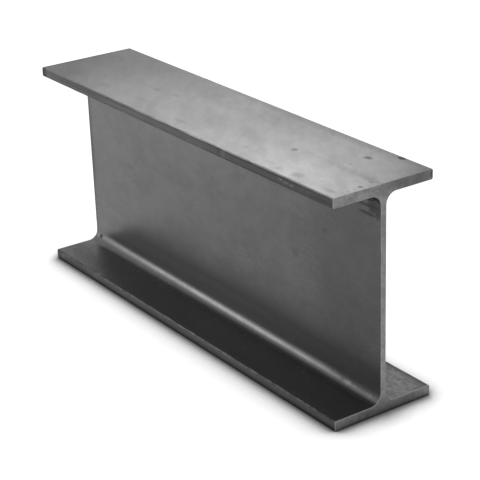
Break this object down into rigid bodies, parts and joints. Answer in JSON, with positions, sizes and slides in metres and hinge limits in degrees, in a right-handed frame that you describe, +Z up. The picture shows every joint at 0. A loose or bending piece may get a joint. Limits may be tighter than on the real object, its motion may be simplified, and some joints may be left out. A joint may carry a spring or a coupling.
{
  "type": "steel i-beam",
  "caption": "Short length of hot-rolled steel beam with parallel flanges and rounded roots, sawn square at both ends, for carrying load on its flanges.",
  "frame": {"origin": "middle of the underside of the bottom flange, on the surface that the beam stands on", "axes": "+X along the beam's length, +Y across the flanges, +Z up along the web"},
  "size_m": [0.4572, 0.1018, 0.2032],
  "materials": {
    "rolled_steel": "hot-rolled mill scale, satin grey with darker smudges, rubbed brighter along the arrises"
  },
  "bodies": {
    "root": {"rolled_beam": "rolled_steel"}
  },
  "joints": []
}
